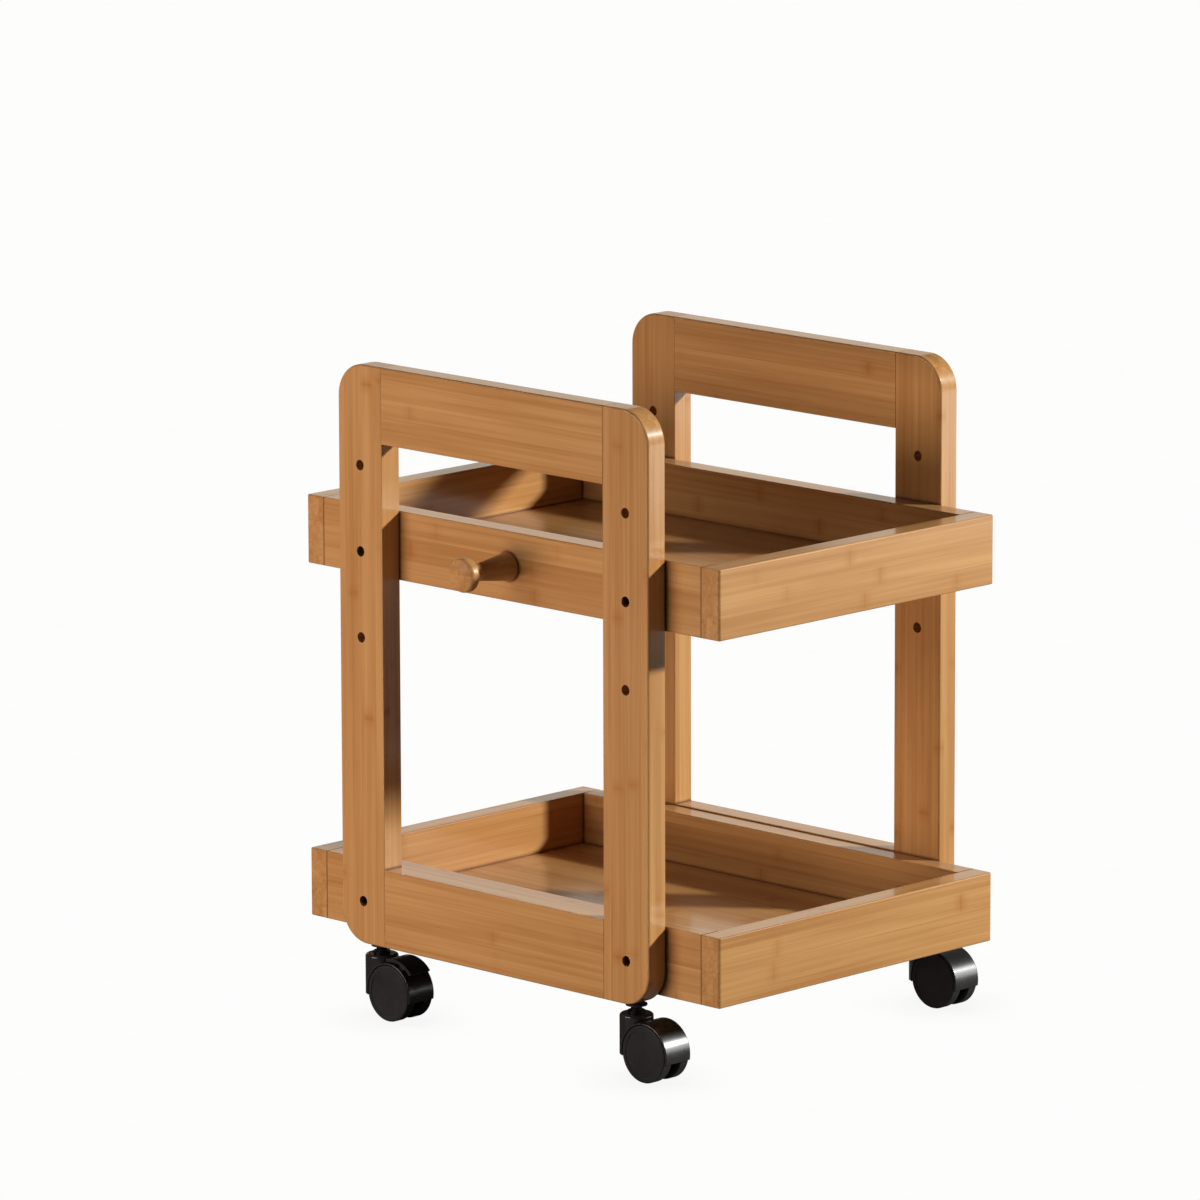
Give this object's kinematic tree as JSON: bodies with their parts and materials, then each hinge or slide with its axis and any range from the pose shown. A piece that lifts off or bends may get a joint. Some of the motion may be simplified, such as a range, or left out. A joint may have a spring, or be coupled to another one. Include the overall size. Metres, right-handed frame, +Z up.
{
  "type": "rolling utility cart",
  "caption": "Bamboo cart with open trays bolted between upright side frames, a hanging peg on its side, and swivelling twin-wheel casters under the frames.",
  "frame": {"origin": "on the floor, midway between the side frames and midway along the trays", "axes": "+Z up; +X from the left frame, which has the peg on its side, to the right frame; -Y towards the front tray ends, the way the casters trail"},
  "size_m": [0.3448, 0.4, 0.463],
  "materials": {
    "bamboo_posts": "satin",
    "bamboo_rails": "satin",
    "bamboo_sides": "satin",
    "bamboo_ends": "satin",
    "bamboo_floors": "satin",
    "turned_bamboo": "satin",
    "dowel_wood": "plain",
    "bright_steel": "satin",
    "zinc_steel": "zinc plated",
    "black_steel": "blackened",
    "bronzed_steel": "bronzed",
    "socket_plastic": "matte",
    "caster_hood": "gloss",
    "caster_wheel": "matte",
    "brake_pedal": "gloss"
  },
  "bodies": {
    "cart": {"left_front_post": "bamboo_posts", "left_back_post": "bamboo_posts", "left_top_rail": "bamboo_rails", "left_bottom_rail": "bamboo_rails", "left_frame_dowels": "dowel_wood", "right_front_post": "bamboo_posts", "right_back_post": "bamboo_posts", "right_top_rail": "bamboo_rails", "right_bottom_rail": "bamboo_rails", "right_frame_dowels": "dowel_wood", "lower_tray_left_side": "bamboo_sides", "lower_tray_right_side": "bamboo_sides", "lower_tray_front_end": "bamboo_ends", "lower_tray_back_end": "bamboo_ends", "lower_tray_floor": "bamboo_floors", "lower_tray_dowels": "dowel_wood", "lower_tray_bolts": "bright_steel", "lower_bolt_sleeves": "bronzed_steel", "upper_tray_left_side": "bamboo_sides", "upper_tray_right_side": "bamboo_sides", "upper_tray_front_end": "bamboo_ends", "upper_tray_back_end": "bamboo_ends", "upper_tray_floor": "bamboo_floors", "upper_tray_dowels": "dowel_wood", "upper_tray_bolts": "bright_steel", "upper_bolt_sleeves": "bronzed_steel", "hanging_peg": "turned_bamboo", "peg_screw": "zinc_steel", "caster_sockets": "socket_plastic", "front_left_stem": "black_steel", "front_right_stem": "black_steel", "back_left_stem": "black_steel", "back_right_stem": "black_steel"},
    "front_left_caster": {"front_left_hood": "caster_hood", "front_left_axle": "bright_steel"},
    "front_left_left_wheel": {"front_left_left_wheel": "caster_wheel"},
    "front_left_right_wheel": {"front_left_right_wheel": "caster_wheel"},
    "front_right_caster": {"front_right_hood": "caster_hood", "front_right_axle": "bright_steel"},
    "front_right_left_wheel": {"front_right_left_wheel": "caster_wheel"},
    "front_right_right_wheel": {"front_right_right_wheel": "caster_wheel"},
    "back_left_caster": {"back_left_hood": "caster_hood", "back_left_axle": "bright_steel", "back_left_brake_pin": "bright_steel"},
    "back_left_left_wheel": {"back_left_left_wheel": "caster_wheel"},
    "back_left_right_wheel": {"back_left_right_wheel": "caster_wheel"},
    "back_left_brake_lever": {"back_left_brake_lever": "brake_pedal"},
    "back_right_caster": {"back_right_hood": "caster_hood", "back_right_axle": "bright_steel", "back_right_brake_pin": "bright_steel"},
    "back_right_left_wheel": {"back_right_left_wheel": "caster_wheel"},
    "back_right_right_wheel": {"back_right_right_wheel": "caster_wheel"},
    "back_right_brake_lever": {"back_right_brake_lever": "brake_pedal"}
  },
  "joints": [
    {"name": "front_left_swivel", "type": "hinge", "parent": "cart", "child": "front_left_caster", "pos_m": [-0.146, -0.13, 0.038], "axis": [0, 0, 1], "continuous": true},
    {"name": "front_left_left_spin", "type": "hinge", "parent": "front_left_caster", "child": "front_left_left_wheel", "pos_m": [-0.1543, -0.148, 0.02], "axis": [1, 0, 0], "continuous": true},
    {"name": "front_left_right_spin", "type": "hinge", "parent": "front_left_caster", "child": "front_left_right_wheel", "pos_m": [-0.1377, -0.148, 0.02], "axis": [1, 0, 0], "continuous": true},
    {"name": "front_right_swivel", "type": "hinge", "parent": "cart", "child": "front_right_caster", "pos_m": [0.146, -0.13, 0.038], "axis": [0, 0, 1], "continuous": true},
    {"name": "front_right_left_spin", "type": "hinge", "parent": "front_right_caster", "child": "front_right_left_wheel", "pos_m": [0.1377, -0.148, 0.02], "axis": [1, 0, 0], "continuous": true},
    {"name": "front_right_right_spin", "type": "hinge", "parent": "front_right_caster", "child": "front_right_right_wheel", "pos_m": [0.1543, -0.148, 0.02], "axis": [1, 0, 0], "continuous": true},
    {"name": "back_left_swivel", "type": "hinge", "parent": "cart", "child": "back_left_caster", "pos_m": [-0.146, 0.119, 0.038], "axis": [0, 0, 1], "continuous": true},
    {"name": "back_left_left_spin", "type": "hinge", "parent": "back_left_caster", "child": "back_left_left_wheel", "pos_m": [-0.1543, 0.101, 0.02], "axis": [1, 0, 0], "continuous": true},
    {"name": "back_left_right_spin", "type": "hinge", "parent": "back_left_caster", "child": "back_left_right_wheel", "pos_m": [-0.1377, 0.101, 0.02], "axis": [1, 0, 0], "continuous": true},
    {"name": "back_left_brake", "type": "hinge", "parent": "back_left_caster", "child": "back_left_brake_lever", "pos_m": [-0.146, 0.1025, 0.036], "axis": [1, 0, 0], "range_deg": [0, 8]},
    {"name": "back_right_swivel", "type": "hinge", "parent": "cart", "child": "back_right_caster", "pos_m": [0.146, 0.119, 0.038], "axis": [0, 0, 1], "continuous": true},
    {"name": "back_right_left_spin", "type": "hinge", "parent": "back_right_caster", "child": "back_right_left_wheel", "pos_m": [0.1377, 0.101, 0.02], "axis": [1, 0, 0], "continuous": true},
    {"name": "back_right_right_spin", "type": "hinge", "parent": "back_right_caster", "child": "back_right_right_wheel", "pos_m": [0.1543, 0.101, 0.02], "axis": [1, 0, 0], "continuous": true},
    {"name": "back_right_brake", "type": "hinge", "parent": "back_right_caster", "child": "back_right_brake_lever", "pos_m": [0.146, 0.1025, 0.036], "axis": [1, 0, 0], "range_deg": [0, 8]}
  ]
}
